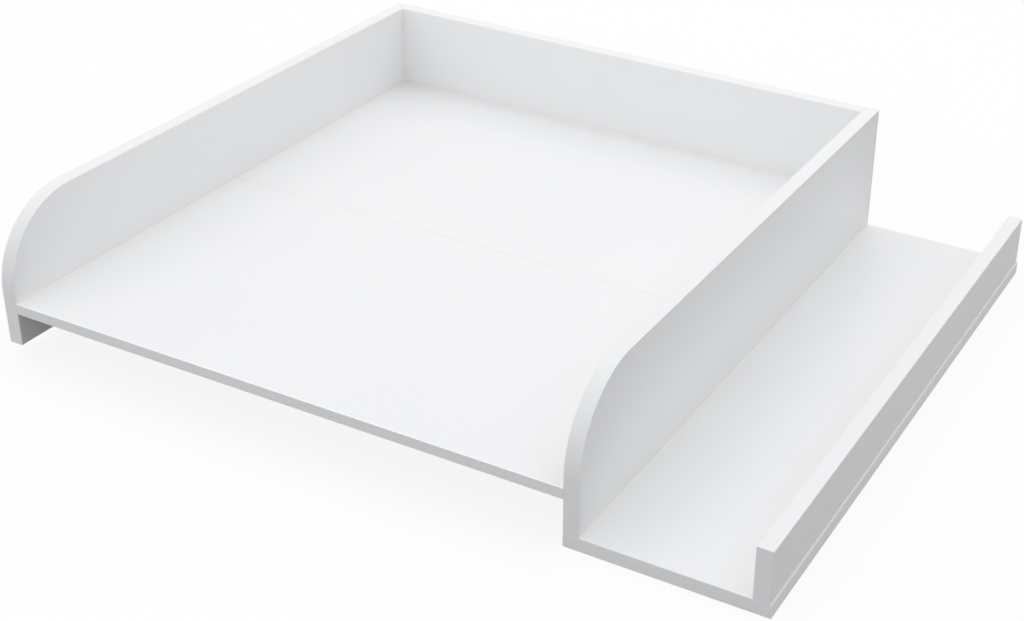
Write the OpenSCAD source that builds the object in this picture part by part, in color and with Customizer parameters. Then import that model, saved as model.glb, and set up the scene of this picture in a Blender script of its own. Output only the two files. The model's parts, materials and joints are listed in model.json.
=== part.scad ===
// Changing board with a storage tray, in millimetres.
// It lies on a chest: the deck rests on the chest's top, the side panels hang down beside it.
// X runs across the front, Y from front to back, Z up.
// The origin is the middle of the plan, at the level of the tray's underside.

/* [Boards] */
// Thickness of the side panels, the back panel and the tray lip
board_t = 18; // [16:0.5:22]
// Thickness of the two deck boards
deck_t = 13; // [12:0.5:19]
// Thickness of the tray board
tray_t = 16; // [15:0.5:22]
// Thickness of the glued edge bands
band_t = 1; // [0.8:0.1:2]
// Radius that eases the long outer corners of an edge band
ease_r = 0.6; // [0.2:0.1:0.7]

/* [Changing area] */
// Clear width between the side panels
inner_w = 700; // [600:10:800]
// Depth from the front edges to the back face
depth = 780; // [650:10:900]
// Height of the side and back panels above the deck
wall_h = 111; // [110:1:180]
// How far the side panels hang below the underside of the deck
drop_h = 40; // [38:1:60]
// Radius of the rounded front corner of a side panel
corner_r = 100; // [40:1:105]

/* [Tray] */
// Clear width between the right side panel and the lip
tray_w = 185; // [120:5:300]
// Height of the lip above the tray
lip_h = 61; // [50:1:100]
// How far the tray board stands out past the lip
ledge_w = 2; // [2:0.5:10]

/* [Cam fittings] */
// Diameter of a cam housing
cam_d = 14.9; // [14:0.1:16]
// Distance from the joint to the axis of the cam
cam_reach = 24; // [20:1:34]
// Thickness of the housing's wall where it is thinnest
cam_wall = 1.1; // [0.8:0.1:1.6]
// How far the cam's chamber lies off the axis
cam_throw = 0.9; // [0.5:0.1:1.2]
// Angle that the cam turns from entry to locked
cam_turn = 100; // [80:5:130]
// Length of each bar of the cross recess
cross_l = 7; // [5:0.5:9]
// Width of each bar of the cross recess
cross_w = 1.4; // [1:0.1:2]
// Depth of the cross recess
cross_depth = 2; // [1:0.1:2.2]

/* [Cam bolts] */
// Diameter of the bolt's head
bolt_head_d = 6; // [5:0.1:6.2]
// Length of the bolt's head
bolt_head_l = 3.4; // [2.5:0.1:4]
// Diameter of the neck behind the head
bolt_neck_d = 3.6; // [3:0.1:4.2]
// Diameter of the shank between neck and collar
bolt_shank_d = 5.6; // [4.5:0.1:6]
// Diameter of the collar that seats on the panel
bolt_collar_d = 6.9; // [6.2:0.1:7.2]
// Length of the collar
bolt_collar_l = 3; // [2:0.5:6]
// Diameter of the end that is driven into the panel
bolt_end_d = 5; // [4:0.1:6]
// Length of the end that is driven into the panel
bolt_end_l = 11; // [8:0.5:13]

/* [Dowels] */
// Diameter of the dowels in the deck and the back panel
small_dowel_d = 6; // [5:0.5:8]
// Diameter of the dowels under the right panel and the lip
large_dowel_d = 8; // [6:0.5:10]
// Length of every dowel
dowel_l = 30; // [25:1:40]
// How deep a dowel sits in the board whose face it enters
dowel_sunk = 11; // [8:0.5:12.5]
// Chamfer round the ends of a dowel
dowel_chamfer = 0.8; // [0.3:0.1:1.5]

/* [Screws] */
// Length of the screws that hold the tray
screw_l = 50; // [40:1:60]
// Diameter of the countersunk head
screw_head_d = 10; // [8.5:0.5:12]
// Height of the straight rim of the head
screw_rim_h = 1; // [0.5:0.1:2]
// Diameter of the plain shank under the head
screw_shank_d = 6.9; // [6:0.1:7.5]
// Diameter of the screw's core past the shank
screw_core_d = 4.9; // [4:0.1:5.5]
// Length of the point
screw_point_l = 4; // [2:0.5:6]
// Width across the flats of the hexagon socket
socket_af = 4; // [3:0.5:5]
// Depth of the hexagon socket
socket_depth = 3; // [2:0.5:4]
// How far the head sits below the face of the tray
head_sink = 0.3; // [0:0.1:1]

/* [Fastener places] */
// Screws under each upright that stands on the tray
screw_count = 4; // [3:1:6]
// Distance from the tray's ends to the first screw
screw_inset = 60; // [50:1:90]
// Distance from a deck board's ends to its cams
cam_inset = 72; // [60:1:100]
// Distance from a deck board's ends to its dowels
dowel_inset = 36; // [25:1:50]
// Cams between the deck and the back panel
back_cam_count = 3; // [2:1:5]
// Distance from a side panel to the first cam of the back panel
back_cam_inset = 110; // [80:1:140]
// Dowels along the seam between the deck boards
seam_dowel_count = 4; // [2:1:6]
// Distance from a side panel to the first dowel of the seam
seam_dowel_inset = 70; // [40:1:100]
// Distance from the deck's underside to the lower dowel of the back panel
back_dowel_rise = 32; // [25:1:38]
// Distance between the back panel's dowels, with the cam midway
back_dowel_pitch = 64; // [50:1:75]

/* [Clearances] */
// Radial gap round a fitting in its bore
fit_gap = 0.05; // [0.02:0.01:0.1]
// Gap past the end of a fitting in its blind bore
end_gap = 0.5; // [0.2:0.1:1]
// Gap between the cam and the head and neck of its bolt
cam_play = 0.15; // [0.1:0.05:0.3]
// Gap between the two deck boards at their seam
seam_gap = 0.3; // [0.1:0.1:1]

/* [Hidden] */
$fn = 64;

// How far a cutter reaches past the face that it cuts
overrun = 1;

// Places across the width
total_w = board_t + inner_w + board_t + tray_w + board_t + ledge_w;
x_left = -total_w / 2;
x_left_in = x_left + board_t;
x_right_in = x_left_in + inner_w;
x_right_out = x_right_in + board_t;
x_lip_in = x_right_out + tray_w;
x_lip_out = x_lip_in + board_t;
x_end = x_lip_out + ledge_w;

// Places along the depth
y_front = -depth / 2;
y_back = depth / 2;
y_back_in = y_back - board_t;
y_seam = (y_front + y_back_in) / 2;

// Heights
z_panel = tray_t;
z_deck = z_panel + drop_h;
z_deck_top = z_deck + deck_t;
z_top = z_deck_top + wall_h;
z_lip_top = tray_t + lip_h;

// Middles of the boards that take fittings
z_deck_mid = z_deck + deck_t / 2;
x_right_mid = (x_right_in + x_right_out) / 2;
x_lip_mid = (x_lip_in + x_lip_out) / 2;
y_back_mid = (y_back_in + y_back) / 2;

// Cam fittings
cam_r = cam_d / 2;
chamber_r = cam_r - cam_wall - cam_throw;
head_seat = cam_reach - chamber_r + cam_throw + cam_play;

// Places of the fittings
function spread(from, to, count) = [for (i = [0:count - 1]) from + (to - from) * i / (count - 1)];
cam_ys = [
    y_front + cam_inset,
    y_seam - cam_inset,
    y_seam + cam_inset,
    y_back_in - cam_inset
];
side_dowel_ys = [
    y_front + dowel_inset,
    y_seam - dowel_inset,
    y_seam + dowel_inset,
    y_back_in - dowel_inset
];
back_cam_xs = spread(x_left_in + back_cam_inset, x_right_in - back_cam_inset, back_cam_count);
back_dowel_xs = [
    for (x = back_cam_xs)
        for (side = [-1, 1])
            x + side * dowel_inset
];
seam_dowel_xs = spread(x_left_in + seam_dowel_inset, x_right_in - seam_dowel_inset, seam_dowel_count);
back_dowel_zs = [z_deck + back_dowel_rise, z_deck + back_dowel_rise + back_dowel_pitch];
back_cam_z = z_deck + back_dowel_rise + back_dowel_pitch / 2;
screw_ys = spread(y_front + screw_inset, y_back - screw_inset, screw_count);
tray_dowel_ys = [for (i = [0:screw_count - 2]) (screw_ys[i] + screw_ys[i + 1]) / 2];

// Finishes
function board_white() = [0.95, 0.95, 0.94];
function band_white() = [0.93, 0.93, 0.92];
function beech() = [0.84, 0.69, 0.49];
function zinc() = [0.72, 0.72, 0.70];
function steel() = [0.78, 0.79, 0.80];

// What a rounded corner takes off a square one: the waste outside a quarter circle round the origin.
module corner_waste(radius) {
    difference() {
        square([radius + overrun, radius + overrun]);
        circle(radius);
    }
}

// Cross section of an edge band: across the board along X, outwards along Y, outer corners eased.
module band_section(width) {
    difference() {
        square([width, band_t]);
        translate([width - ease_r, band_t - ease_r])
            corner_waste(ease_r);
        translate([ease_r, band_t - ease_r])
            mirror([1, 0])
                corner_waste(ease_r);
    }
}

// The same section with its outer face turned to the left, to the right or down.
module facing_left(width) {
    rotate(90)
        band_section(width);
}

module facing_right(width) {
    mirror([1, 0])
        facing_left(width);
}

module facing_down(width) {
    mirror([0, 1])
        band_section(width);
}

// Extrudes a section drawn in Y and Z from the place `from` along X.
module along_x(from, length) {
    translate(from)
        rotate([90, 0, 90])
            linear_extrude(length)
                children();
}

// Extrudes a section drawn in X and Z from the place `from` towards the back.
module along_y(from, length) {
    translate(from + [0, length, 0])
        rotate([90, 0, 0])
            linear_extrude(length)
                children();
}

// Extrudes a section drawn in X and Y from the place `from` upwards.
module along_z(from, length) {
    translate(from)
        linear_extrude(length)
            children();
}

// Outline of a side panel in Y and Z, with its upper front corner rounded.
module panel_outline(length, height, radius) {
    difference() {
        square([length, height]);
        translate([radius, height - radius])
            mirror([1, 0])
                corner_waste(radius);
    }
}

// Core board of a side panel from its left face, without its bands.
module panel_core(x, foot) {
    along_x([x, y_front + band_t, z_panel + foot], board_t)
        panel_outline(depth - 2 * band_t, z_top - z_panel - foot - band_t, corner_r - band_t);
}

// The band that runs in one strip up the front, round the corner and along the top.
module panel_band(x) {
    along_z([x, y_front + band_t, z_panel], z_top - corner_r - z_panel)
        facing_down(board_t);
    translate([x, y_front + corner_r, z_top - corner_r])
        rotate([180, -90, 0])
            rotate_extrude(angle = 90, $fn = 128)
                translate([corner_r - band_t, 0])
                    facing_right(board_t);
    along_y([x, y_front + corner_r, z_top - band_t], depth - corner_r)
        band_section(board_t);
}

module panel_rear_band(x) {
    along_z([x, y_back - band_t, z_panel], z_top - band_t - z_panel)
        band_section(board_t);
}

// Turned dowel from its sunk end up.
module dowel(diameter) {
    chamfer = dowel_chamfer;
    rotate_extrude()
        polygon([
            [0, 0],
            [diameter / 2 - chamfer, 0],
            [diameter / 2, chamfer],
            [diameter / 2, dowel_l - chamfer],
            [diameter / 2 - chamfer, dowel_l],
            [0, dowel_l]
        ]);
}

module dowel_bore(diameter) {
    translate([0, 0, -end_gap])
        cylinder(h = dowel_l + 2 * end_gap, d = diameter + 2 * fit_gap);
}

// A joint's own frame: Z runs from the board whose face is entered into the board whose edge is
// entered, and starts at the joint. A dowel or its bore is set so that its sunk end lies below.
module sunk() {
    translate([0, 0, -dowel_sunk])
        children();
}

// Cam housing round the end of a bolt that comes in along X. The bolt's axis is at height 0,
// and the open face of the housing lies half the board's thickness below it.
module cam_housing(thickness) {
    plate_t = thickness / 2 - bolt_head_d / 2 - cam_play;
    height = thickness / 2 + bolt_head_d / 2 + cam_play;
    translate([cam_reach, 0, -thickness / 2])
        difference() {
            cylinder(h = height, r = cam_r);
            // Eccentric chamber, open at the inner end
            translate([cam_throw, 0, plate_t])
                cylinder(h = height, r = chamber_r);
            // Slot that the neck passes as the cam turns
            translate([0, 0, thickness / 2 - bolt_neck_d / 2 - cam_play])
                rotate([0, 0, 180])
                    rotate_extrude(angle = cam_turn)
                        square([cam_r + overrun, bolt_neck_d + 2 * cam_play]);
            // Round end of the slot at the locked neck
            translate([0, 0, thickness / 2])
                rotate([0, -90, 0])
                    cylinder(h = cam_r + overrun, d = bolt_neck_d + 2 * cam_play);
            // Wide mouth where the head enters
            translate([0, 0, thickness / 2])
                rotate([0, 0, cam_turn])
                    rotate([0, -90, 0])
                        cylinder(h = cam_r + overrun, d = bolt_head_d + 2 * cam_play);
            // Cross recess for the driver
            for (turn = [45, 135])
                rotate([0, 0, turn])
                    translate([-cross_l / 2, -cross_w / 2, -overrun])
                        cube([cross_l, cross_w, cross_depth + overrun]);
        }
}

module cam_bore(thickness) {
    height = thickness / 2 + bolt_head_d / 2 + cam_play + end_gap;
    translate([cam_reach, 0, -thickness / 2 - overrun])
        cylinder(h = height + overrun, r = cam_r + fit_gap);
    // Bore for the bolt from the edge to the housing
    translate([-overrun, 0, 0])
        rotate([0, 90, 0])
            cylinder(h = cam_reach + overrun, d = bolt_collar_d + 2 * fit_gap);
}

// Bolt along X from the face of the panel that it is driven into.
module cam_bolt() {
    neck_start = cam_reach - cam_r - bolt_neck_d / 2;
    slope = (bolt_head_d - bolt_neck_d) / 4;
    rotate([0, 90, 0])
        rotate_extrude()
            polygon([
                [0, -bolt_end_l],
                [bolt_end_d / 2 - slope, -bolt_end_l],
                [bolt_end_d / 2, slope - bolt_end_l],
                [bolt_end_d / 2, 0],
                [bolt_collar_d / 2, 0],
                [bolt_collar_d / 2, bolt_collar_l],
                [bolt_shank_d / 2, bolt_collar_l],
                [bolt_shank_d / 2, neck_start - slope],
                [bolt_neck_d / 2, neck_start],
                [bolt_neck_d / 2, head_seat],
                [bolt_head_d / 2, head_seat + slope],
                [bolt_head_d / 2, head_seat + bolt_head_l - slope],
                [bolt_head_d / 2 - slope, head_seat + bolt_head_l],
                [0, head_seat + bolt_head_l]
            ]);
}

module cam_bolt_bore() {
    translate([-bolt_end_l - end_gap, 0, 0])
        rotate([0, 90, 0])
            cylinder(h = bolt_end_l + end_gap + overrun, d = bolt_end_d + 2 * fit_gap);
}

// Half profile of a screw from its head up, grown by a gap for its bore.
function screw_cone_h() = (screw_head_d - screw_shank_d) / 2;
function screw_points(gap, head_start, end) = [
    [0, head_start],
    [screw_head_d / 2 + gap, head_start],
    [screw_head_d / 2 + gap, head_sink + screw_rim_h],
    [screw_shank_d / 2 + gap, head_sink + screw_rim_h + screw_cone_h()],
    [screw_shank_d / 2 + gap, tray_t - end_gap],
    [screw_core_d / 2 + gap, tray_t],
    [screw_core_d / 2 + gap, end],
    [0, end]
];

module tray_screw() {
    straight_end = screw_l - screw_point_l;
    socket_d = socket_af / cos(30);
    difference() {
        union() {
            rotate_extrude()
                polygon(screw_points(0, head_sink, straight_end));
            translate([0, 0, straight_end])
                cylinder(h = screw_point_l, d1 = screw_core_d, d2 = screw_core_d / 4);
        }
        translate([0, 0, head_sink - overrun])
            cylinder(h = socket_depth + overrun, d = socket_d, $fn = 6);
    }
}

module tray_screw_bore() {
    rotate_extrude()
        polygon(screw_points(fit_gap, -overrun, screw_l + end_gap));
}

// Frames of the joints. In each of them the joint lies at the origin.
module at_deck_sides(ys) {
    for (y = ys) {
        translate([x_left_in, y, z_deck_mid])
            children();
        translate([x_right_in, y, z_deck_mid])
            rotate([0, 0, 180])
                children();
    }
}

module at_deck_back(xs) {
    for (x = xs)
        translate([x, y_back_in, z_deck_mid])
            rotate([0, 0, -90])
                children();
}

module at_back_sides(zs) {
    for (z = zs) {
        translate([x_left_in, y_back_mid, z])
            rotate([90, 0, 0])
                children();
        translate([x_right_in, y_back_mid, z])
            rotate([0, 180, 0])
                rotate([90, 0, 0])
                    children();
    }
}

module at_seam(xs) {
    for (x = xs)
        translate([x, y_seam, z_deck_mid])
            rotate([-90, 0, 0])
                translate([0, 0, -dowel_l / 2])
                    children();
}

module at_tray(x, ys) {
    for (y = ys)
        translate([x, y, 0])
            children();
}

module at_tray_top(x, ys) {
    for (y = ys)
        translate([x, y, tray_t])
            sunk()
                children();
}

// Turns a part that stands along Z so that it lies along X.
module lying() {
    rotate([0, 90, 0])
        children();
}

// Bores that the deck and the back panel share with the side panels.
module side_joint_bores() {
    at_deck_sides(cam_ys)
        cam_bolt_bore();
    at_back_sides([back_cam_z])
        cam_bolt_bore();
    side_dowel_bores();
}

module side_dowel_bores() {
    at_deck_sides(side_dowel_ys)
        lying()
            sunk()
                dowel_bore(small_dowel_d);
    at_back_sides(back_dowel_zs)
        lying()
            sunk()
                dowel_bore(small_dowel_d);
}

module deck_bores() {
    at_deck_sides(cam_ys)
        cam_bore(deck_t);
    at_deck_back(back_cam_xs)
        cam_bore(deck_t);
    side_dowel_bores();
    at_deck_back(back_dowel_xs)
        lying()
            sunk()
                dowel_bore(small_dowel_d);
    at_seam(seam_dowel_xs)
        dowel_bore(small_dowel_d);
}

module upright_bores(x) {
    at_tray(x, screw_ys)
        tray_screw_bore();
    at_tray_top(x, tray_dowel_ys)
        dowel_bore(large_dowel_d);
}

// Boards
module left_side_panel() {
    color(board_white())
        difference() {
            panel_core(x_left, band_t);
            side_joint_bores();
        }
}

module right_side_panel() {
    color(board_white())
        difference() {
            panel_core(x_right_in, 0);
            side_joint_bores();
            upright_bores(x_right_mid);
        }
}

module back_panel() {
    color(board_white())
        difference() {
            translate([x_left_in, y_back_in, z_deck])
                cube([inner_w, board_t, z_top - band_t - z_deck]);
            at_back_sides([back_cam_z])
                cam_bore(board_t);
            side_dowel_bores();
            at_deck_back(back_cam_xs)
                cam_bolt_bore();
            at_deck_back(back_dowel_xs)
                lying()
                    sunk()
                        dowel_bore(small_dowel_d);
        }
}

module front_deck_board() {
    color(board_white())
        difference() {
            translate([x_left_in, y_front + band_t, z_deck])
                cube([inner_w, y_seam - seam_gap / 2 - y_front - band_t, deck_t]);
            deck_bores();
        }
}

module rear_deck_board() {
    color(board_white())
        difference() {
            translate([x_left_in, y_seam + seam_gap / 2, z_deck])
                cube([inner_w, y_back_in - y_seam - seam_gap / 2, deck_t]);
            deck_bores();
        }
}

module tray_board() {
    color(board_white())
        difference() {
            translate([x_right_in + band_t, y_front + band_t, 0])
                cube([x_end - x_right_in - 2 * band_t, depth - 2 * band_t, tray_t]);
            upright_bores(x_right_mid);
            upright_bores(x_lip_mid);
        }
}

module tray_lip() {
    color(board_white())
        difference() {
            translate([x_lip_in, y_front + band_t, tray_t])
                cube([board_t, depth - 2 * band_t, lip_h - band_t]);
            upright_bores(x_lip_mid);
        }
}

// Edge bands
module left_panel_band() {
    color(band_white())
        panel_band(x_left);
}

module left_panel_rear_band() {
    color(band_white())
        panel_rear_band(x_left);
}

module left_panel_bottom_band() {
    color(band_white())
        along_y([x_left, y_front + band_t, z_panel + band_t], depth - 2 * band_t)
            facing_down(board_t);
}

module right_panel_band() {
    color(band_white())
        panel_band(x_right_in);
}

module right_panel_rear_band() {
    color(band_white())
        panel_rear_band(x_right_in);
}

module back_panel_band() {
    color(band_white())
        along_x([x_left_in, y_back_in, z_top - band_t], inner_w)
            band_section(board_t);
}

module deck_front_band() {
    color(band_white())
        along_x([x_left_in, y_front + band_t, z_deck], inner_w)
            facing_left(deck_t);
}

module tray_front_band() {
    color(band_white())
        along_x([x_right_in, y_front + band_t, 0], x_end - x_right_in)
            facing_left(tray_t);
}

module tray_rear_band() {
    color(band_white())
        along_x([x_right_in, y_back - band_t, 0], x_end - x_right_in)
            facing_right(tray_t);
}

module tray_outer_band() {
    color(band_white())
        along_y([x_end - band_t, y_front + band_t, 0], depth - 2 * band_t)
            facing_right(tray_t);
}

module tray_inner_band() {
    color(band_white())
        along_y([x_right_in + band_t, y_front + band_t, 0], depth - 2 * band_t)
            facing_left(tray_t);
}

module lip_top_band() {
    color(band_white())
        along_y([x_lip_in, y_front, z_lip_top - band_t], depth)
            band_section(board_t);
}

module lip_front_band() {
    color(band_white())
        along_z([x_lip_in, y_front + band_t, tray_t], lip_h - band_t)
            facing_down(board_t);
}

module lip_rear_band() {
    color(band_white())
        along_z([x_lip_in, y_back - band_t, tray_t], lip_h - band_t)
            band_section(board_t);
}

// Fittings
module deck_side_cams() {
    color(zinc())
        at_deck_sides(cam_ys)
            cam_housing(deck_t);
}

module deck_side_bolts() {
    color(steel())
        at_deck_sides(cam_ys)
            cam_bolt();
}

module deck_side_dowels() {
    color(beech())
        at_deck_sides(side_dowel_ys)
            lying()
                sunk()
                    dowel(small_dowel_d);
}

module deck_back_cams() {
    color(zinc())
        at_deck_back(back_cam_xs)
            cam_housing(deck_t);
}

module deck_back_bolts() {
    color(steel())
        at_deck_back(back_cam_xs)
            cam_bolt();
}

module deck_back_dowels() {
    color(beech())
        at_deck_back(back_dowel_xs)
            lying()
                sunk()
                    dowel(small_dowel_d);
}

module deck_seam_dowels() {
    color(beech())
        at_seam(seam_dowel_xs)
            dowel(small_dowel_d);
}

module back_side_cams() {
    color(zinc())
        at_back_sides([back_cam_z])
            cam_housing(board_t);
}

module back_side_bolts() {
    color(steel())
        at_back_sides([back_cam_z])
            cam_bolt();
}

module back_side_dowels() {
    color(beech())
        at_back_sides(back_dowel_zs)
            lying()
                sunk()
                    dowel(small_dowel_d);
}

module tray_panel_screws() {
    color(steel())
        at_tray(x_right_mid, screw_ys)
            tray_screw();
}

module tray_panel_dowels() {
    color(beech())
        at_tray_top(x_right_mid, tray_dowel_ys)
            dowel(large_dowel_d);
}

module tray_lip_screws() {
    color(steel())
        at_tray(x_lip_mid, screw_ys)
            tray_screw();
}

module tray_lip_dowels() {
    color(beech())
        at_tray_top(x_lip_mid, tray_dowel_ys)
            dowel(large_dowel_d);
}

left_side_panel();
right_side_panel();
back_panel();
front_deck_board();
rear_deck_board();
tray_board();
tray_lip();
left_panel_band();
left_panel_rear_band();
left_panel_bottom_band();
right_panel_band();
right_panel_rear_band();
back_panel_band();
deck_front_band();
tray_front_band();
tray_rear_band();
tray_outer_band();
tray_inner_band();
lip_top_band();
lip_front_band();
lip_rear_band();
deck_side_cams();
deck_side_bolts();
deck_side_dowels();
deck_back_cams();
deck_back_bolts();
deck_back_dowels();
deck_seam_dowels();
back_side_cams();
back_side_bolts();
back_side_dowels();
tray_panel_screws();
tray_panel_dowels();
tray_lip_screws();
tray_lip_dowels();
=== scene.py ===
# %% [markdown]
# # A changing board for the top of a chest
#
# The real object is flat-pack furniture: coated boards with glued edge bands, held by cams, bolts,
# dowels and screws that sit inside the boards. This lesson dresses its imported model.
# It gives every board a satin coating, puts threads on the screws and bolts and flutes on the dowels,
# and lights the whole like a catalogue picture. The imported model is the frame: nothing in it moves.

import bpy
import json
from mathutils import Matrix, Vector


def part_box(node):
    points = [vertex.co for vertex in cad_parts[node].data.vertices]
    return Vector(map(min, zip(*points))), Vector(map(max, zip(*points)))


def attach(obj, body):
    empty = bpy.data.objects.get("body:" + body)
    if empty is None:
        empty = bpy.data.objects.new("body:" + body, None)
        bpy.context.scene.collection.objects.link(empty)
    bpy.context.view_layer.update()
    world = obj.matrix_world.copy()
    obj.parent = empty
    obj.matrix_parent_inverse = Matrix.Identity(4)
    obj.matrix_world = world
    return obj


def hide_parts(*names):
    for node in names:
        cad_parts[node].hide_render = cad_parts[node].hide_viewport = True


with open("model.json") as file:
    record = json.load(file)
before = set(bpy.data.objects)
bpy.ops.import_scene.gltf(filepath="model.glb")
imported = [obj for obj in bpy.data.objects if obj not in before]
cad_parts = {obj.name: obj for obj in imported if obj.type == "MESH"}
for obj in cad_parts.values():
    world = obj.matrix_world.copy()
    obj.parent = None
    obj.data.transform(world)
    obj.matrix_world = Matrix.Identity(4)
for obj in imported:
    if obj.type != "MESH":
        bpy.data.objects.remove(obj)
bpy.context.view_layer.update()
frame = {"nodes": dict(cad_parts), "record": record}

# %% Blender's modules, and a clean selection
import json
import math

import bmesh
import bpy
from mathutils import Matrix, Vector

bpy.ops.object.select_all(action="DESELECT")
MM = 0.001
nodes = frame["nodes"]
print("selected objects:", len(bpy.context.selected_objects))

# %% [markdown]
# ## Measures from the frame
#
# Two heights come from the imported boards' own boxes, so they follow if a board changes: the floor lies
# under the tray board, which is the lowest piece, and the lamps aim at the top of the deck.

# %% Read two heights from the boards' boxes
floor_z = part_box("tray_board")[0].z
deck_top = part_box("front_deck_board")[1].z
print("deck top at", round(deck_top / MM, 1), "mm, tray underside at", round(floor_z / MM, 1), "mm")

# %% [markdown]
# ## The camera
#
# The picture looks down on the board from its right front corner through a long lens, and the frame
# is shifted a little. A lens shift slides the frame without turning the camera, so it changes the cut
# of the picture and not its perspective.

# %% Camera
CAMERA_PLACE = (0.9251, -1.5947, 1.063)
CAMERA_TILT = 61.754
CAMERA_ROLL = -2.117
CAMERA_TURN = 26.864
CAMERA_SENSOR = 36
CAMERA_LENS = 61.7135
CAMERA_SHIFT_X = -0.14838
CAMERA_SHIFT_Y = -0.04944

camera_data = bpy.data.cameras.new("picture_camera")
camera_data.sensor_width = CAMERA_SENSOR
camera_data.lens = CAMERA_LENS
camera_data.shift_x = CAMERA_SHIFT_X
camera_data.shift_y = CAMERA_SHIFT_Y
camera = bpy.data.objects.new("picture_camera", camera_data)
camera.location = CAMERA_PLACE
camera.rotation_euler = [math.radians(angle) for angle in (CAMERA_TILT, CAMERA_ROLL, CAMERA_TURN)]
bpy.context.scene.collection.objects.link(camera)
bpy.context.scene.camera = camera
print("lens", camera_data.lens, "mm, shift", camera_data.shift_x, camera_data.shift_y)

# %% [markdown]
# ## Node trees by hand
#
# A material is a small network. The first helpers add a node, join two sockets and fill in plain
# values. The next two take the larger of two masks and blend two shaders. With them, each material
# below reads as a list of what feeds what.

# %% Helpers for node trees
def add(tree, kind, **settings):
    node = tree.nodes.new(kind)
    for name, value in settings.items():
        setattr(node, name, value)
    return node


def join(tree, source, target):
    tree.links.new(source, target)


def fill(node, **values):
    for name, value in values.items():
        node.inputs[name.replace("_", " ")].default_value = value
    return node


def feed(tree, value, target):
    if isinstance(value, bpy.types.NodeSocket):
        join(tree, value, target)
    else:
        target.default_value = value


print("node helpers ready")

# %% Helpers for masks and shaders
def either(tree, first, second):
    larger = add(tree, "ShaderNodeMath", operation="MAXIMUM")
    join(tree, first, larger.inputs[0])
    join(tree, second, larger.inputs[1])
    return larger.outputs[0]


def blended(tree, factor, first, second):
    blend = add(tree, "ShaderNodeMixShader")
    feed(tree, factor, blend.inputs[0])
    join(tree, first.outputs[0], blend.inputs[1])
    join(tree, second.outputs[0], blend.inputs[2])
    return blend


print("mask and shader helpers ready")

# %% [markdown]
# ## Floor and backdrop
#
# The floor is one large pale plane. What the camera, a mirror or a glass sees of the world beyond it
# is plain white, while the light that the world sends out is set apart and lower: Light Path tells
# the two apart. The floor does the same for the camera and a mirror, so it looks white and still
# throws little light upwards.

# %% World: white to look at, softer as a light
WORLD_LIGHT = 0.68
COOL_WHITE = (0.965, 0.982, 1.0)
PLAIN_WHITE = (1.0, 1.0, 1.0, 1)
world = bpy.data.worlds.new("studio")
bpy.context.scene.world = world
world.use_nodes = True
tree = world.node_tree
tree.nodes.clear()
rays = add(tree, "ShaderNodeLightPath")
camera_or_gloss = either(tree, rays.outputs["Is Camera Ray"], rays.outputs["Is Glossy Ray"])
seen = either(tree, camera_or_gloss, rays.outputs["Is Transmission Ray"])
light = fill(add(tree, "ShaderNodeBackground"), Color=(*COOL_WHITE, 1), Strength=WORLD_LIGHT)
look = fill(add(tree, "ShaderNodeBackground"), Color=PLAIN_WHITE, Strength=1)
sky = blended(tree, seen, light, look)
join(tree, sky.outputs[0], add(tree, "ShaderNodeOutputWorld").inputs["Surface"])
print("world lights at", WORLD_LIGHT)

# %% Floor
FLOOR_SIZE = 40
FLOOR_GAP = 0.1 * MM
FLOOR_GLOW = 0.88
FLOOR_PALE = (0.95, 0.95, 0.95, 1)
FLOOR_DULL = (0.17, 0.17, 0.17, 1)
bpy.ops.mesh.primitive_plane_add(size=FLOOR_SIZE, location=(0, 0, floor_z - FLOOR_GAP))
floor = bpy.context.active_object
floor.name = "studio_floor"
floor_paint = bpy.data.materials.new("floor_paint")
floor_paint.use_nodes = True
tree = floor_paint.node_tree
tree.nodes.clear()
rays = add(tree, "ShaderNodeLightPath")
camera_or_gloss = either(tree, rays.outputs["Is Camera Ray"], rays.outputs["Is Glossy Ray"])
matte = fill(add(tree, "ShaderNodeBsdfDiffuse"), Color=FLOOR_PALE)
glow = fill(add(tree, "ShaderNodeEmission"), Color=PLAIN_WHITE, Strength=1)
dull = fill(add(tree, "ShaderNodeBsdfDiffuse"), Color=FLOOR_DULL)
paint = blended(tree, camera_or_gloss, dull, blended(tree, FLOOR_GLOW, matte, glow))
join(tree, paint.outputs[0], add(tree, "ShaderNodeOutputMaterial").inputs["Surface"])
floor.data.materials.append(floor_paint)
print("floor at", round(floor.location.z / MM, 2), "mm")

# %% [markdown]
# ## Light
#
# A white thing on white needs light that comes mostly from above, so that the deck is the brightest
# part, the upright faces are a step darker and each joint shows as a soft line. Three wide softboxes
# hang over the board, two low ones stand in front, and the pale world fills the shade. The light from
# the left and the rear is a little warm and the rest a little cool, so upright faces look fresh.
# The lamps are kept out of the gloss: seen flat over the deck, their glare would clip it to white.

# %% Softboxes
REAR_WHITE = (1.0, 0.98, 0.98)
WARM_WHITE = (1.0, 0.965, 0.95)


def softbox(name, place, width, watts, tint):
    lamp = bpy.data.lights.new(name, "AREA")
    lamp.shape = "SQUARE"
    lamp.size = width
    lamp.energy = watts
    lamp.color = tint
    holder = bpy.data.objects.new(name, lamp)
    holder.visible_glossy = False
    holder.location = place
    aim = Vector((0, 0, deck_top)) - Vector(place)
    holder.rotation_euler = aim.to_track_quat("-Z", "Y").to_euler()
    bpy.context.scene.collection.objects.link(holder)


softbox("rear_softbox", place=(0, 1.6, 2.6), width=2.0, watts=18, tint=REAR_WHITE)
softbox("left_softbox", place=(-1.6, 0, 2.6), width=2.0, watts=9.5, tint=WARM_WHITE)
softbox("right_softbox", place=(1.6, 0, 2.6), width=2.0, watts=9.5, tint=COOL_WHITE)
softbox("front_softbox", place=(-0.2, -3.2, 1.2), width=2.4, watts=15, tint=COOL_WHITE)
softbox("front_left_softbox", place=(-2.2, -2.4, 1.3), width=2.4, watts=9.5, tint=COOL_WHITE)

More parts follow.
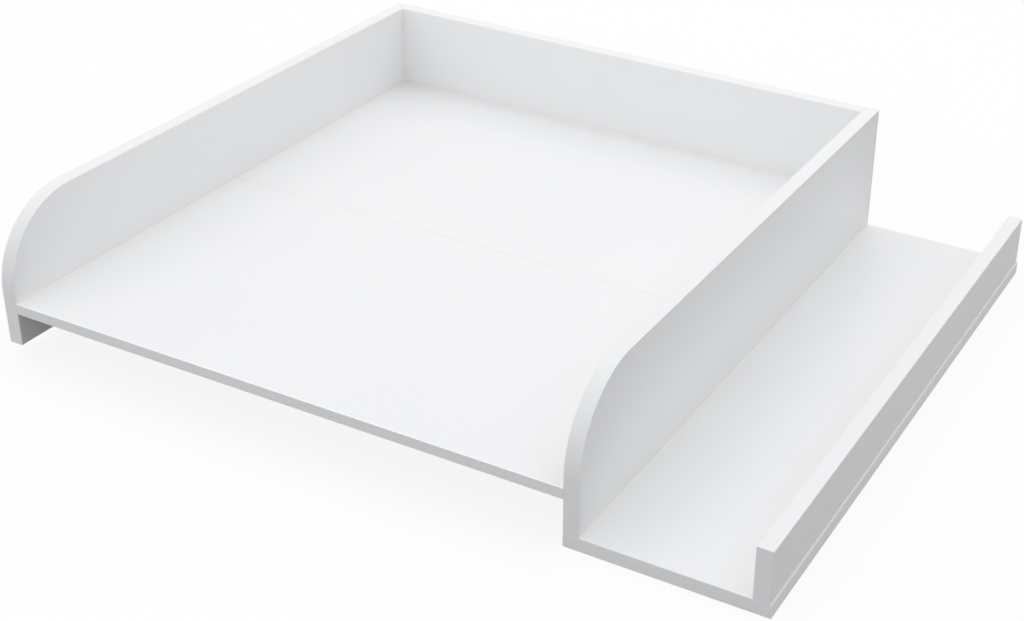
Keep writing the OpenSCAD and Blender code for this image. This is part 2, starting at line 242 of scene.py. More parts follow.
# %% [markdown]
# ## Shared effects
#
# Several finishes need the same few effects: a surface that knows which way it faces, a fine skin,
# fine streaks in one direction, and chips of wood. Each is a node group with named inputs and
# outputs, built once. The finishes below set their own values on it.

# %% A helper that opens a new node group
COLOR, FLOAT, VECTOR = "NodeSocketColor", "NodeSocketFloat", "NodeSocketVector"


def group_tree(name, inputs, outputs):
    tree = bpy.data.node_groups.new(name, "ShaderNodeTree")
    for label, kind, value in inputs:
        socket = tree.interface.new_socket(name=label, in_out="INPUT", socket_type=kind)
        socket.default_value = value
    for label, kind in outputs:
        tree.interface.new_socket(name=label, in_out="OUTPUT", socket_type=kind)
    return tree, add(tree, "NodeGroupInput"), add(tree, "NodeGroupOutput")


def mixed(tree, factor, first, second):
    blend = add(tree, "ShaderNodeMix", data_type="RGBA")
    join(tree, factor, blend.inputs["Factor"])
    feed(tree, first, blend.inputs["A"])
    feed(tree, second, blend.inputs["B"])
    return blend.outputs["Result"]


def ranged(tree, source, low, high, from_low=0.0, from_high=1.0):
    spread = fill(add(tree, "ShaderNodeMapRange"), From_Min=from_low, From_Max=from_high)
    join(tree, source, spread.inputs["Value"])
    feed(tree, low, spread.inputs["To Min"])
    feed(tree, high, spread.inputs["To Max"])
    return spread.outputs["Result"]


print("group helpers ready")

# %% [markdown]
# ## Which way a face looks
#
# A board is coated on its two broad faces and raw inside, and its edge bands are milled round where
# they meet those faces. The direction of the surface tells these apart: along the board's thickness
# it is a broad face, across it an edge, and in between it is the milled round of a band. The rim is
# the round together with what lies beyond it. The values below say how far a surface leans towards
# the thickness, from 0 for an edge to 1 for a broad face.

# %% Node group: facing
BROAD_STARTS, BROAD_FULL = 0.6, 0.8
RIM_STARTS, RIM_FULL = 0.05, 0.35
ROUND_FADES, ROUND_GONE = 0.85, 0.99

facing_tree, given, out = group_tree(
    "facing", [("Axis", VECTOR, (0.0, 0.0, 1.0))],
    [("Broad Face", FLOAT), ("Milled Round", FLOAT), ("Rim", FLOAT)])
place = add(facing_tree, "ShaderNodeTexCoord")
along = add(facing_tree, "ShaderNodeVectorMath", operation="DOT_PRODUCT")
join(facing_tree, place.outputs["Normal"], along.inputs[0])
join(facing_tree, given.outputs["Axis"], along.inputs[1])
lean = add(facing_tree, "ShaderNodeMath", operation="ABSOLUTE")
join(facing_tree, along.outputs["Value"], lean.inputs[0])
broad = ranged(facing_tree, lean.outputs[0], 0.0, 1.0, BROAD_STARTS, BROAD_FULL)
rim = ranged(facing_tree, lean.outputs[0], 0.0, 1.0, RIM_STARTS, RIM_FULL)
not_flat = ranged(facing_tree, lean.outputs[0], 1.0, 0.0, ROUND_FADES, ROUND_GONE)
milled = add(facing_tree, "ShaderNodeMath", operation="MULTIPLY")
join(facing_tree, rim, milled.inputs[0])
join(facing_tree, not_flat, milled.inputs[1])
join(facing_tree, broad, out.inputs["Broad Face"])
join(facing_tree, milled.outputs[0], out.inputs["Milled Round"])
join(facing_tree, rim, out.inputs["Rim"])
print("facing puts out", [s.name for s in facing_tree.interface.items_tree if s.in_out == "OUTPUT"])

# %% [markdown]
# ## Satin coating
#
# The coating is smooth to the eye, but has a fine pebbled skin that softens every reflection.
# The group makes a tiny relief, a slow drift of tone and patches that are a shade duller.

# %% Node group: coated skin
CLOUDS_PER_METRE = 5.0

skin_tree, given, out = group_tree(
    "coated_skin",
    [("Tone", COLOR, (0.88, 0.88, 0.88, 1)), ("Shade", COLOR, (0.865, 0.865, 0.865, 1)),
     ("Smooth", FLOAT, 0.34), ("Dull", FLOAT, 0.42), ("Pebbles per Metre", FLOAT, 1100.0)],
    [("Color", COLOR), ("Roughness", FLOAT), ("Height", FLOAT)])
place = add(skin_tree, "ShaderNodeTexCoord")
pebbles = fill(add(skin_tree, "ShaderNodeTexNoise"), Detail=2.0, Roughness=0.5)
join(skin_tree, place.outputs["Object"], pebbles.inputs["Vector"])
join(skin_tree, given.outputs["Pebbles per Metre"], pebbles.inputs["Scale"])
clouds = fill(add(skin_tree, "ShaderNodeTexNoise"), Scale=CLOUDS_PER_METRE, Detail=3.0, Roughness=0.55)
join(skin_tree, place.outputs["Object"], clouds.inputs["Vector"])
drift = clouds.outputs["Fac"]
tone = mixed(skin_tree, drift, given.outputs["Tone"], given.outputs["Shade"])
gloss = ranged(skin_tree, drift, given.outputs["Smooth"], given.outputs["Dull"])
join(skin_tree, tone, out.inputs["Color"])
join(skin_tree, gloss, out.inputs["Roughness"])
join(skin_tree, pebbles.outputs["Fac"], out.inputs["Height"])
print("coated_skin takes", [s.name for s in skin_tree.interface.items_tree if s.in_out == "INPUT"])

# %% [markdown]
# ## Streaks in one direction
#
# A band has faint lines along it from the die that it came through, a turned bolt has rings from the
# tool, and beech has its fibres. All three are noise that is squeezed in one direction: the pattern's
# coordinates are multiplied by a stretch, large across the streaks and small along them.

# %% Node group: streaks
STREAK_STARTS, STREAK_FULL = 0.3, 0.7

streak_tree, given, out = group_tree(
    "streaks",
    [("Stretch", VECTOR, (1.0, 1.0, 1.0)), ("Contrast", FLOAT, 0.5)],
    [("Mask", FLOAT), ("Height", FLOAT)])
place = add(streak_tree, "ShaderNodeTexCoord")
squeezed = add(streak_tree, "ShaderNodeVectorMath", operation="MULTIPLY")
join(streak_tree, place.outputs["Object"], squeezed.inputs[0])
join(streak_tree, given.outputs["Stretch"], squeezed.inputs[1])
lines = fill(add(streak_tree, "ShaderNodeTexNoise"), Scale=1.0, Detail=4.0, Roughness=0.6)
join(streak_tree, squeezed.outputs[0], lines.inputs["Vector"])
join(streak_tree, lines.outputs["Fac"], out.inputs["Height"])
stronger = ranged(streak_tree, lines.outputs["Fac"], 0.0, given.outputs["Contrast"],
                  STREAK_STARTS, STREAK_FULL)
join(streak_tree, stronger, out.inputs["Mask"])
print("streaks puts out", [s.name for s in streak_tree.interface.items_tree if s.in_out == "OUTPUT"])

# %% Helpers for directions
def stretch_along(axis, along, across):
    return tuple(along if name == axis else across for name in "XYZ")


def unit(axis):
    return tuple(1.0 if name == axis else 0.0 for name in "XYZ")


print("the direction Y is", unit("Y"))

# %% [markdown]
# ## Raw particle core
#
# Inside the coating a board is pressed from wood chips. The core shows on the back panel's lower
# edge, which has no band, and on the walls of the bores. Cells of a Voronoi pattern are the chips:
# each has its own tone of straw or bark, and the gaps between them are a little deeper.

# %% Node group: particle core
SMOOTH_CHIP, ROUGH_CHIP = 0.72, 0.92

core_tree, given, out = group_tree(
    "particle_core",
    [("Straw", COLOR, (0.56, 0.4, 0.23, 1)), ("Bark", COLOR, (0.29, 0.18, 0.095, 1)),
     ("Chips per Metre", FLOAT, 520.0)],
    [("Color", COLOR), ("Roughness", FLOAT), ("Height", FLOAT)])
place = add(core_tree, "ShaderNodeTexCoord")
chips = fill(add(core_tree, "ShaderNodeTexVoronoi"), Randomness=1.0)
join(core_tree, place.outputs["Object"], chips.inputs["Vector"])
join(core_tree, given.outputs["Chips per Metre"], chips.inputs["Scale"])
tone = add(core_tree, "ShaderNodeSeparateColor")
join(core_tree, chips.outputs["Color"], tone.inputs["Color"])
join(core_tree, mixed(core_tree, tone.outputs["Red"], given.outputs["Straw"], given.outputs["Bark"]),
     out.inputs["Color"])
join(core_tree, ranged(core_tree, tone.outputs["Green"], SMOOTH_CHIP, ROUGH_CHIP), out.inputs["Roughness"])
join(core_tree, ranged(core_tree, chips.outputs["Distance"], 1.0, 0.0), out.inputs["Height"])
print("particle_core takes", [s.name for s in core_tree.interface.items_tree if s.in_out == "INPUT"])

# %% A helper that opens a material
def finish_tree(name):
    material = bpy.data.materials.new(name)
    material.use_nodes = True
    tree = material.node_tree
    return material, tree, tree.nodes["Principled BSDF"]


def placed_group(tree, group, **values):
    node = add(tree, "ShaderNodeGroup", node_tree=group)
    return fill(node, **values)


def relief(tree, height, shader, strength, depth, under=None):
    bump = fill(add(tree, "ShaderNodeBump"), Strength=strength, Distance=depth)
    join(tree, height, bump.inputs["Height"])
    if under:
        join(tree, under, bump.inputs["Normal"])
    join(tree, bump.outputs["Normal"], shader.inputs["Normal"])
    return bump.outputs["Normal"]


print("material helpers ready")

# %% [markdown]
# ## Coated boards
#
# One finish serves every board, and only the direction of the thickness differs: the side panels and
# the lip are thin along X, the back panel along Y, the deck and the tray along Z. Where the surface
# looks that way it is satin white, and elsewhere the raw core shows. The two deck boards meet in a
# seam that can be seen, so their edges there are coated too.

# %% Satin white boards, one finish for each thickness direction and one for the deck
CHIP_LEVEL = 0.5
CHIP_DEPTH = 0.25 * MM
FINE_DEPTH = 0.02 * MM


def broad_faces(tree, axes):
    facings = [placed_group(tree, facing_tree, Axis=unit(axis)) for axis in axes]
    first, *others = [facing.outputs["Broad Face"] for facing in facings]
    for other in others:
        first = either(tree, first, other)
    return first


def board_finish(axes):
    material, tree, shader = finish_tree("satin_white_board_" + axes.lower())
    coated = broad_faces(tree, axes)
    skin = placed_group(tree, skin_tree)
    core = placed_group(tree, core_tree)
    tone = mixed(tree, coated, core.outputs["Color"], skin.outputs["Color"])
    gloss = ranged(tree, coated, core.outputs["Roughness"], skin.outputs["Roughness"])
    join(tree, tone, shader.inputs["Base Color"])
    join(tree, gloss, shader.inputs["Roughness"])
    chip_relief = ranged(tree, coated, core.outputs["Height"], CHIP_LEVEL)
    rough_edge = relief(tree, chip_relief, shader, strength=0.5, depth=CHIP_DEPTH)
    relief(tree, skin.outputs["Height"], shader, strength=0.12, depth=FINE_DEPTH, under=rough_edge)
    return material


BOARD_COATED_ALONG = {"left_side_panel": "X", "right_side_panel": "X", "tray_lip": "X", "back_panel": "Y",
                      "front_deck_board": "YZ", "rear_deck_board": "YZ", "tray_board": "Z"}
board_finishes = {axes: board_finish(axes) for axes in ("X", "Y", "Z", "YZ")}
print("made", [material.name for material in board_finishes.values()])

# %% [markdown]
# ## Edge bands
#
# A band is a strip of white plastic, glued to a raw edge and milled flush. It has faint drawn lines
# along its length, and the milling leaves a polished round at each long corner, smoother than the
# strip. The deck's front band carries a painted highlight: its rim, which is the round and the band's
# top, is painted pure white, so that the deck ends in a fine bright line.

# %% Edge bands, one finish for each direction across the strip and one for the deck with a painted highlight
BAND_LINES_PER_METRE = 2600.0
BAND_WAVES_PER_METRE = 9.0
BAND_WHITE = (0.87, 0.872, 0.875, 1)
BAND_SHADE = (0.855, 0.857, 0.86, 1)
BAND_LINE = (0.84, 0.843, 0.848, 1)
POLISHED = 0.18


def band_finish(axis, name, round_and_highlight_part="Milled Round", round_tone_and_painted_highlight=BAND_WHITE):
    material, tree, shader = finish_tree(name)
    facing = placed_group(tree, facing_tree, Axis=unit(axis))
    skin = placed_group(tree, skin_tree, Tone=BAND_WHITE, Shade=BAND_SHADE, Smooth=0.3, Dull=0.36,
                        Pebbles_per_Metre=1500.0)
    drawn = placed_group(tree, streak_tree, Contrast=0.6,
                         Stretch=stretch_along(axis, BAND_LINES_PER_METRE, BAND_WAVES_PER_METRE))
    milled = facing.outputs[round_and_highlight_part]
    lined = mixed(tree, drawn.outputs["Mask"], skin.outputs["Color"], BAND_LINE)
    # The milled round keeps the band's plain white; on the deck's band the rim is painted pure white, a
    # painted highlight.
    join(tree, mixed(tree, milled, lined, round_tone_and_painted_highlight), shader.inputs["Base Color"])
    join(tree, ranged(tree, milled, skin.outputs["Roughness"], POLISHED), shader.inputs["Roughness"])
    fine = relief(tree, skin.outputs["Height"], shader, strength=0.08, depth=FINE_DEPTH)
    relief(tree, drawn.outputs["Height"], shader, strength=0.1, depth=FINE_DEPTH, under=fine)
    return material


BAND_WIDE_ALONG = {"back_panel_band": "Y", "tray_front_band": "Z", "tray_rear_band": "Z",
                   "tray_outer_band": "Z", "tray_inner_band": "Z", "deck_front_band": "deck"}
band_finishes = {axis: band_finish(axis, "white_edge_band_across_" + axis.lower()) for axis in "XYZ"}
# The deck's band paints its rim pure white: a painted highlight along the deck's front edge.
band_finishes["deck"] = band_finish("Z", "white_edge_band_of_the_deck_with_painted_highlight", "Rim", PLAIN_WHITE)
print("made", [material.name for material in band_finishes.values()])

# %% [markdown]
# ## Cast zinc
#
# Cam housings are die-cast: grey, a little mottled where the metal chilled in the die, with a fine
# sandy skin. Patches a few millimetres wide are darker, and fine noise gives the grain. The slow drift
# of the skin gives each housing a tone and a gloss of its own.

# %% Cast zinc for the cam housings
ZINC_BRIGHT = (0.56, 0.565, 0.56, 1)
ZINC_GREY = (0.4, 0.405, 0.41, 1)
ZINC_CHILLED = (0.33, 0.335, 0.345, 1)
CHILLED_PATCHES_PER_METRE = 420.0
CHILL_STRENGTH = 0.6
CHILL_STARTS, CHILL_FULL = 0.4, 0.7
SAND_DEPTH = 0.05 * MM

zinc, tree, shader = finish_tree("cast_zinc")
shader.inputs["Metallic"].default_value = 1.0
skin = placed_group(tree, skin_tree, Tone=ZINC_BRIGHT, Shade=ZINC_GREY, Smooth=0.3, Dull=0.55,
                    Pebbles_per_Metre=3000.0)
patches = fill(add(tree, "ShaderNodeTexNoise"), Scale=CHILLED_PATCHES_PER_METRE, Detail=3.0, Roughness=0.6)
join(tree, add(tree, "ShaderNodeTexCoord").outputs["Object"], patches.inputs["Vector"])
chill = ranged(tree, patches.outputs["Fac"], 0.0, CHILL_STRENGTH, CHILL_STARTS, CHILL_FULL)
join(tree, mixed(tree, chill, skin.outputs["Color"], ZINC_CHILLED), shader.inputs["Base Color"])
join(tree, skin.outputs["Roughness"], shader.inputs["Roughness"])
relief(tree, skin.outputs["Height"], shader, strength=0.35, depth=SAND_DEPTH)
print("made", zinc.name)

# %% [markdown]
# ## Plated steel
#
# Screws and bolts are turned or rolled from steel wire and zinc plated: bright, with fine rings round
# the axis. The streaks group draws the rings when the pattern is squeezed along the axis.

# %% Plated steel, one finish for each direction of the axis
RINGS_PER_METRE = 5200.0
RING_WAVES_PER_METRE = 60.0
PLATING_BRIGHT = (0.66, 0.67, 0.69, 1)
PLATING_GREY = (0.58, 0.6, 0.63, 1)
RING_GREY = (0.5, 0.51, 0.53, 1)
RING_ROUGHNESS = 0.4


def steel_finish(axis):
    material, tree, shader = finish_tree("plated_steel_along_" + axis.lower())
    shader.inputs["Metallic"].default_value = 1.0
    rings = placed_group(tree, streak_tree, Contrast=0.7,
                         Stretch=stretch_along(axis, RINGS_PER_METRE, RING_WAVES_PER_METRE))
    skin = placed_group(tree, skin_tree, Tone=PLATING_BRIGHT, Shade=PLATING_GREY, Smooth=0.2, Dull=0.32,
                        Pebbles_per_Metre=2200.0)
    tone = mixed(tree, rings.outputs["Mask"], skin.outputs["Color"], RING_GREY)
    gloss = ranged(tree, rings.outputs["Mask"], skin.outputs["Roughness"], RING_ROUGHNESS)
    join(tree, tone, shader.inputs["Base Color"])
    join(tree, gloss, shader.inputs["Roughness"])
    relief(tree, rings.outputs["Height"], shader, strength=0.25, depth=FINE_DEPTH)
    return material


steel_finishes = {axis: steel_finish(axis) for axis in "XYZ"}
print("made", [material.name for material in steel_finishes.values()])

# %% [markdown]
# ## Beech
#
# Dowels are raw beech: pale, with straight fibres along the peg and the short dark flecks that tell
# beech from other woods. Fibres and flecks are two passes of the same streaks, at two stretches.

# %% Beech, one finish for each direction of the fibres
FIBRE_STRETCH = {"along": 40.0, "across": 2400.0}
FLECK_STRETCH = {"along": 420.0, "across": 3600.0}
FLECK_STRENGTH = 0.75
FLECK_STARTS, FLECK_FULL = 0.45, 0.7
BEECH_PALE = (0.62, 0.43, 0.25, 1)
BEECH_DARK = (0.5, 0.32, 0.17, 1)
BEECH_FLECK = (0.3, 0.17, 0.08, 1)
SMOOTH_FIBRE, ROUGH_FIBRE = 0.62, 0.8
FIBRE_DEPTH = 0.08 * MM


def beech_finish(axis):
    material, tree, shader = finish_tree("raw_beech_along_" + axis.lower())
    fibres = placed_group(tree, streak_tree, Contrast=0.8, Stretch=stretch_along(axis, **FIBRE_STRETCH))
    flecks = placed_group(tree, streak_tree, Contrast=0.7, Stretch=stretch_along(axis, **FLECK_STRETCH))
    wood = mixed(tree, fibres.outputs["Mask"], BEECH_PALE, BEECH_DARK)
    speck = ranged(tree, flecks.outputs["Mask"], 0.0, FLECK_STRENGTH, FLECK_STARTS, FLECK_FULL)
    gloss = ranged(tree, fibres.outputs["Mask"], SMOOTH_FIBRE, ROUGH_FIBRE)
    join(tree, mixed(tree, speck, wood, BEECH_FLECK), shader.inputs["Base Color"])
    join(tree, gloss, shader.inputs["Roughness"])
    relief(tree, fibres.outputs["Height"], shader, strength=0.4, depth=FIBRE_DEPTH)
    return material


beech_finishes = {axis: beech_finish(axis) for axis in "XYZ"}
print("made", [material.name for material in beech_finishes.values()])

# %% [markdown]
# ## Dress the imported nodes
#
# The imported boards, bands and cam housings already have the right shape, so each keeps its mesh and
# only takes a finish. The record says which slot a node belongs to, and the tables above say how it
# lies. Bands that aren't in the table lie across X.

# %% Give each node its finish
def dress(name, material):
    nodes[name].data.materials.clear()
    nodes[name].data.materials.append(material)


slot_of = {part["node"]: part["material_slot"] for part in frame["record"]["subparts"]}
dressed = [name for name in slot_of if slot_of[name] in ("board", "edge_band", "cam_zinc")]
for name in dressed:
    if slot_of[name] == "board":
        dress(name, board_finishes[BOARD_COATED_ALONG[name]])
    elif slot_of[name] == "edge_band":
        dress(name, band_finishes[BAND_WIDE_ALONG.get(name, "X")])
    else:
        dress(name, zinc)
print("dressed", len(dressed), "nodes")

# %% [markdown]
# ## Where the fasteners are
#
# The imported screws, bolts and dowels are plain turned shapes at their right places. Each of them is
# replaced by a detailed one. This helper finds them: a copy of a node's mesh is merged, and every
# loose island in it is one fastener, with a box and a longest side.

# %% Find the separate solids of a node
MERGE_WITHIN = 0.001 * MM


def solids_of(name):
    mesh = bmesh.new()
    mesh.from_mesh(nodes[name].data)
    bmesh.ops.remove_doubles(mesh, verts=mesh.verts, dist=MERGE_WITHIN)
    waiting = set(mesh.verts)
    boxes = []
    while waiting:
        island = [waiting.pop()]
        for vertex in island:
            for edge in vertex.link_edges:
                other = edge.other_vert(vertex)
                if other in waiting:
                    waiting.remove(other)
                    island.append(other)
        low = Vector([min(vertex.co[i] for vertex in island) for i in range(3)])
        high = Vector([max(vertex.co[i] for vertex in island) for i in range(3)])
        boxes.append((low, high))
    mesh.free()
    return sorted(boxes, key=lambda box: tuple(box[0]))


def long_axis(low, high):
    return max(range(3), key=lambda i: high[i] - low[i])


found = solids_of("tray_lip_screws")
first_low, first_high = found[0]
print("tray_lip_screws:", len(found), "solids,", round((first_high - first_low).z / MM, 2), "mm long")

# %% [markdown]
# ## Turning by hand
#
# A lathe makes a round piece as a stack of rings. In Blender the same comes from one filled circle:
# it is extruded upwards and scaled for each ring of the profile, and the last ring closes the piece.
# A ring at the same height as the one before makes a shoulder.

# %% Turned bodies
ROUND_SIDES = 48
SMOOTH_BELOW = 35


def leave_edit_mode(piece):
    bpy.ops.object.mode_set(mode="OBJECT")
    bpy.ops.object.select_all(action="DESELECT")
    piece.select_set(True)
    bpy.context.view_layer.objects.active = piece


def tidy_mesh(piece, smooth_below=SMOOTH_BELOW):
    leave_edit_mode(piece)
    bpy.ops.object.transform_apply(location=True, rotation=True, scale=True)
    bpy.ops.object.mode_set(mode="EDIT")
    bpy.ops.mesh.select_all(action="SELECT")
    bpy.ops.mesh.remove_doubles(threshold=MERGE_WITHIN)
    bpy.ops.mesh.normals_make_consistent(inside=False)
    leave_edit_mode(piece)
    bpy.ops.object.shade_smooth_by_angle(angle=math.radians(smooth_below))


def turned(name, rings, sides=ROUND_SIDES):
    (radius, height), *others = rings
    bpy.ops.object.select_all(action="DESELECT")
    bpy.ops.mesh.primitive_circle_add(vertices=sides, radius=radius, fill_type="NGON",
                                      location=(0, 0, height))
    piece = bpy.context.active_object
    piece.name = name
    bpy.ops.object.mode_set(mode="EDIT")
    bpy.ops.mesh.select_all(action="SELECT")
    for next_radius, next_height in others:
        bpy.ops.mesh.extrude_region_move(TRANSFORM_OT_translate={"value": (0, 0, next_height - height)})
        grow = next_radius / radius
        bpy.ops.transform.resize(value=(grow, grow, 1))
        radius, height = next_radius, next_height
    tidy_mesh(piece)
    return piece


def combine(piece, tool, operation):
    modifier = piece.modifiers.new("combine", "BOOLEAN")
    modifier.operation = operation
    modifier.solver = "EXACT"
    modifier.object = tool
    leave_edit_mode(piece)
    bpy.ops.object.modifier_apply(modifier=modifier.name)
    bpy.data.objects.remove(tool)


def open_edges(piece):
    mesh = bmesh.new()
    mesh.from_mesh(piece.data)
    count = sum(len(edge.link_faces) != 2 for edge in mesh.edges)
    mesh.free()
    return count


print("a turned piece has", ROUND_SIDES, "sides")

# %% [markdown]
# ## A thread
#
# A thread is one ridge that climbs round the core. Its cross section is a triangle with its point
# outwards. The Screw modifier carries it round and up, one pitch a turn, and each end of the ridge
# is then drawn together into the core, as a rolled thread runs out. The ridge starts just under the
# core's surface, so the two join into one solid. A triangle drawn in a circle of radius 1 is 1.5 high
# and has a base of root 3, and its centre is a third of the way up.

# %% The ridge of a thread
THREAD_STEPS = 24
POINT_OUTWARDS = Matrix(((0, 1, 0), (0, 0, 1), (1, 0, 0))).to_euler()
TRIANGLE_REACH = 1.5
TRIANGLE_BASE = math.sqrt(3)
SUNK_SHARE = 0.1


def thread_ridge(core_radius, crest_radius, base, pitch, start, turns):
    sunk = SUNK_SHARE * (crest_radius - core_radius)
    reach = crest_radius - core_radius + sunk
    middle = core_radius - sunk + reach / 3
    bpy.ops.object.select_all(action="DESELECT")
    bpy.ops.mesh.primitive_circle_add(vertices=3, radius=1, fill_type="NOTHING", rotation=POINT_OUTWARDS)
    ridge = bpy.context.active_object
    leave_edit_mode(ridge)
    bpy.ops.object.transform_apply(location=False, rotation=True, scale=False)
    bpy.ops.object.mode_set(mode="EDIT")
    bpy.ops.mesh.select_all(action="SELECT")
    bpy.ops.transform.resize(value=(reach / TRIANGLE_REACH, 1, base / TRIANGLE_BASE),
                             center_override=(0, 0, 0))
    bpy.ops.transform.translate(value=(middle, 0, start))
    leave_edit_mode(ridge)
    climb = ridge.modifiers.new("climb", "SCREW")
    climb.axis = "Z"
    climb.screw_offset = pitch
    climb.iterations = turns
    climb.steps = THREAD_STEPS
    climb.render_steps = THREAD_STEPS
    bpy.ops.object.modifier_apply(modifier=climb.name)
    for end in (start, start + turns * pitch):
        bpy.ops.object.mode_set(mode="EDIT")
        bpy.ops.mesh.select_all(action="DESELECT")
        mesh = bmesh.from_edit_mesh(ridge.data)
        for vertex in mesh.verts:
            vertex.select = vertex.is_boundary and abs(vertex.co.z - end) < base
        mesh.select_flush_mode()
        bmesh.update_edit_mesh(ridge.data)
        bpy.ops.mesh.merge(type="CENTER")
        bpy.ops.transform.translate(value=(core_radius - sunk - middle, 0, 0))
        leave_edit_mode(ridge)
    tidy_mesh(ridge)
    return ridge


print("thread triangle stands", [round(math.degrees(angle)) for angle in POINT_OUTWARDS], "degrees turned")

# %% [markdown]
# ## Tray screws
#
# The tray is held to the right panel and to the lip by furniture screws from below: a countersunk
# head with a hexagon socket, a plain shank that just fits the bore in the tray, and a coarse thread
# that bites into the upright's core. The body is turned, the thread is joined to the core, and then
# the socket is cut with a six-sided tool.

# %% Model one tray screw
SCREW_HEAD_RADIUS = 5.0 * MM
SCREW_SHANK_RADIUS = 3.45 * MM
SCREW_CORE_RADIUS = 2.45 * MM
SCREW_CREST_RADIUS = 3.45 * MM
SCREW_POINT_RADIUS = 0.6 * MM
SCREW_RIM = 1.0 * MM
SCREW_EDGE = 0.2 * MM
SCREW_SHANK_END = 15.2 * MM
SCREW_CORE_START = 15.7 * MM
SCREW_POINT_START = 45.7 * MM
SCREW_LENGTH = 49.7 * MM
SCREW_PITCH = 3.0 * MM
SCREW_RIDGE_BASE = 0.45 * SCREW_PITCH
SCREW_THREAD_START = 18.0 * MM
SCREW_TURNS = 9
SOCKET_ACROSS_FLATS = 4.0 * MM
SOCKET_CORNER_RADIUS = SOCKET_ACROSS_FLATS / 2 / math.cos(math.radians(30))
SOCKET_DEPTH = 3.0 * MM

cone_end = SCREW_RIM + SCREW_HEAD_RADIUS - SCREW_SHANK_RADIUS
tray_screw = turned("tray_screw_model", [
    (SCREW_HEAD_RADIUS - SCREW_EDGE, 0), (SCREW_HEAD_RADIUS, SCREW_EDGE), (SCREW_HEAD_RADIUS, SCREW_RIM),
    (SCREW_SHANK_RADIUS, cone_end), (SCREW_SHANK_RADIUS, SCREW_SHANK_END),
    (SCREW_CORE_RADIUS, SCREW_CORE_START), (SCREW_CORE_RADIUS, SCREW_POINT_START),
    (SCREW_POINT_RADIUS, SCREW_LENGTH)])
combine(tray_screw, thread_ridge(SCREW_CORE_RADIUS, SCREW_CREST_RADIUS, SCREW_RIDGE_BASE, SCREW_PITCH,
                                 SCREW_THREAD_START, SCREW_TURNS), "UNION")
bpy.ops.mesh.primitive_cylinder_add(vertices=6, radius=SOCKET_CORNER_RADIUS, depth=2 * SOCKET_DEPTH,
                                    location=(0, 0, 0))
combine(tray_screw, bpy.context.active_object, "DIFFERENCE")
tidy_mesh(tray_screw)
print("tray screw:", len(tray_screw.data.polygons), "faces, open edges", open_edges(tray_screw))

# %% [markdown]
# ## Cam bolts
#
# A cam bolt is driven into a panel's face and waits for the cam in the other board's edge. From its
# driven end it has a thread, a collar that seats on the panel, a shank, a thin neck and the round
# head that the cam pulls. The head's end has a cross recess for the driver.

# %% Model one cam bolt
BOLT_TIP_RADIUS = 1.9 * MM
BOLT_CORE_RADIUS = 2.5 * MM
BOLT_CREST_RADIUS = 3.1 * MM
BOLT_COLLAR_RADIUS = 3.45 * MM
BOLT_SHANK_RADIUS = 2.8 * MM
BOLT_NECK_RADIUS = 1.8 * MM
BOLT_HEAD_RADIUS = 3.0 * MM
BOLT_SLOPE = 0.6 * MM
BOLT_DRIVEN = 11.0 * MM
BOLT_COLLAR_END = 14.0 * MM
BOLT_NECK_START = 25.75 * MM
BOLT_HEAD_START = 30.6 * MM
BOLT_LENGTH = 34.0 * MM
BOLT_PITCH = 1.6 * MM
BOLT_RIDGE_BASE = 0.6 * BOLT_PITCH
BOLT_THREAD_START = 1.6 * MM
BOLT_TURNS = 5
RECESS_LENGTH = 3.4 * MM
RECESS_WIDTH = 0.9 * MM
RECESS_DEPTH = 1.4 * MM

cam_bolt = turned("cam_bolt_model", [
    (BOLT_TIP_RADIUS, 0), (BOLT_CORE_RADIUS, BOLT_SLOPE), (BOLT_CORE_RADIUS, BOLT_DRIVEN),
    (BOLT_COLLAR_RADIUS, BOLT_DRIVEN), (BOLT_COLLAR_RADIUS, BOLT_COLLAR_END),
    (BOLT_SHANK_RADIUS, BOLT_COLLAR_END), (BOLT_SHANK_RADIUS, BOLT_NECK_START - BOLT_SLOPE),
    (BOLT_NECK_RADIUS, BOLT_NECK_START), (BOLT_NECK_RADIUS, BOLT_HEAD_START),
    (BOLT_HEAD_RADIUS, BOLT_HEAD_START + BOLT_SLOPE), (BOLT_HEAD_RADIUS, BOLT_LENGTH - BOLT_SLOPE),
    (BOLT_HEAD_RADIUS - BOLT_SLOPE, BOLT_LENGTH)])
combine(cam_bolt, thread_ridge(BOLT_CORE_RADIUS, BOLT_CREST_RADIUS, BOLT_RIDGE_BASE, BOLT_PITCH,
                               BOLT_THREAD_START, BOLT_TURNS), "UNION")
for turn in (0, math.pi / 2):
    bpy.ops.mesh.primitive_cube_add(size=1, location=(0, 0, BOLT_LENGTH), rotation=(0, 0, turn),
                                    scale=(RECESS_LENGTH, RECESS_WIDTH, 2 * RECESS_DEPTH))
    combine(cam_bolt, bpy.context.active_object, "DIFFERENCE")
tidy_mesh(cam_bolt)
print("cam bolt:", len(cam_bolt.data.polygons), "faces, open edges", open_edges(cam_bolt))

# %% [markdown]
# ## Fluted dowels
#
# Glue has to escape when a dowel is pushed in, so its side has fine straight flutes. A turned peg
# with three sides to each flute is made first. Then every third row of its outer vertices is
# selected by its angle and drawn in towards the axis. Only very flat corners are shaded smooth on it,
# so the flutes stay crisp.

# %% Model the two dowels
FLUTES = 24
SIDES_PER_FLUTE = 3
FLUTE_DEPTH = 0.25 * MM
FLUTE_SMOOTH_BELOW = 12
DOWEL_LENGTH = 30.0 * MM
DOWEL_CHAMFER = 0.8 * MM


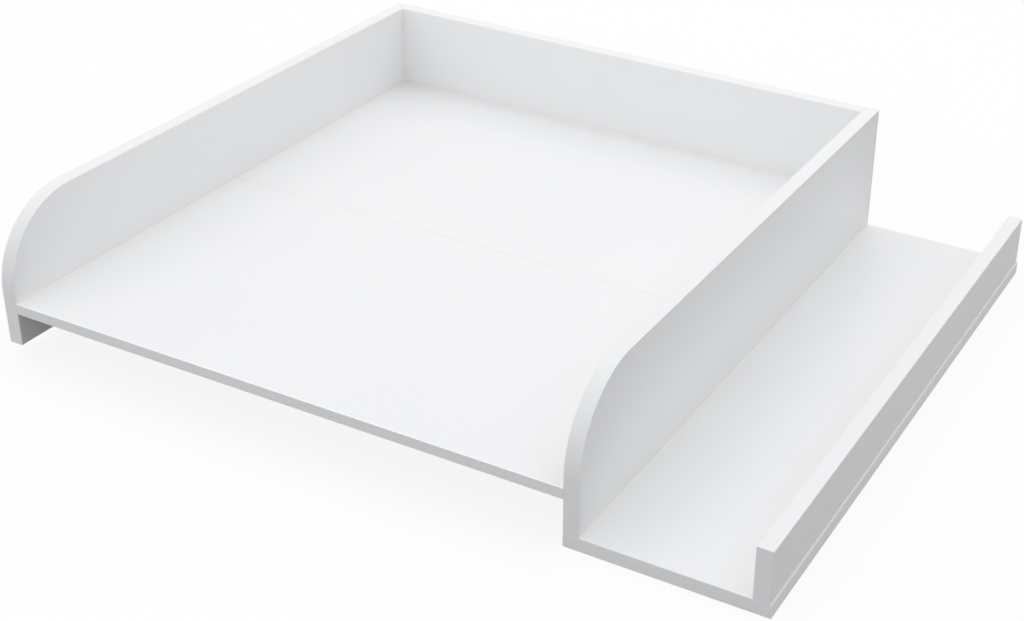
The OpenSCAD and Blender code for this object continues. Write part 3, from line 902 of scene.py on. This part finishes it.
def fluted_dowel(name, diameter):
    radius = diameter / 2
    sides = SIDES_PER_FLUTE * FLUTES
    dowel = turned(name, [
        (radius - DOWEL_CHAMFER, 0), (radius, DOWEL_CHAMFER), (radius, DOWEL_LENGTH - DOWEL_CHAMFER),
        (radius - DOWEL_CHAMFER, DOWEL_LENGTH)], sides)
    bpy.ops.object.mode_set(mode="EDIT")
    bpy.ops.mesh.select_all(action="DESELECT")
    mesh = bmesh.from_edit_mesh(dowel.data)
    for vertex in mesh.verts:
        outer = math.hypot(vertex.co.x, vertex.co.y) > radius - FLUTE_DEPTH
        row = round(math.atan2(vertex.co.x, vertex.co.y) / (2 * math.pi) * sides)
        vertex.select = outer and row % SIDES_PER_FLUTE == 0
    mesh.select_flush_mode()
    bmesh.update_edit_mesh(dowel.data)
    drawn_in = 1 - FLUTE_DEPTH / radius
    bpy.ops.transform.resize(value=(drawn_in, drawn_in, 1))
    tidy_mesh(dowel, FLUTE_SMOOTH_BELOW)
    return dowel


thin_dowel = fluted_dowel("thin_dowel_model", diameter=6 * MM)
thick_dowel = fluted_dowel("thick_dowel_model", diameter=8 * MM)
print("dowels:", len(thin_dowel.data.polygons), "faces each, open edges", open_edges(thin_dowel))

# %% [markdown]
# ## Set the fasteners
#
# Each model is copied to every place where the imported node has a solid, and each copy has a mesh of
# its own. A bolt's head points to the middle of the board, and a screw's point goes up. The place
# goes into the copy's mesh, so the object itself stays at the origin.

# %% Copy the models to their places
def turned_to(axis, forward):
    target = Vector(unit("XYZ"[axis])) * (1 if forward else -1)
    return target.to_track_quat("Z", "Y").to_matrix().to_4x4()


def set_copies(model, node_name, finishes, points_inwards):
    for number, (low, high) in enumerate(solids_of(node_name), 1):
        axis = long_axis(low, high)
        middle = (low + high) / 2
        forward = middle[axis] < 0 or not points_inwards
        foot = middle.copy()
        foot[axis] = low[axis] if forward else high[axis]
        copy = bpy.data.objects.new(node_name[:-1] + "_" + str(number), model.data.copy())
        copy.data.transform(Matrix.Translation(foot) @ turned_to(axis, forward))
        copy.data.materials.clear()
        copy.data.materials.append(finishes["XYZ"[axis]])
        bpy.context.scene.collection.objects.link(copy)
        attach(copy, "root")
        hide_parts(node_name)
    return number


# Each row: the model, the nodes it stands in for, its finishes, and whether it points inwards.
FASTENERS = [
    (tray_screw, ["tray_panel_screws", "tray_lip_screws"], steel_finishes, False),
    (cam_bolt, ["deck_side_bolts", "deck_back_bolts", "back_side_bolts"], steel_finishes, True),
    (thin_dowel, ["deck_side_dowels", "deck_back_dowels", "deck_seam_dowels", "back_side_dowels"],
     beech_finishes, False),
    (thick_dowel, ["tray_panel_dowels", "tray_lip_dowels"], beech_finishes, False),
]
for model, names, finishes, points_inwards in FASTENERS:
    print({name: set_copies(model, name, finishes, points_inwards) for name in names})
for model, *_ in FASTENERS:
    bpy.data.objects.remove(model)

# %% [markdown]
# ## Look of the picture
#
# The Standard view shows a colour as it is written, which suits white things on white.

# %% View settings
bpy.context.scene.view_settings.view_transform = "Standard"
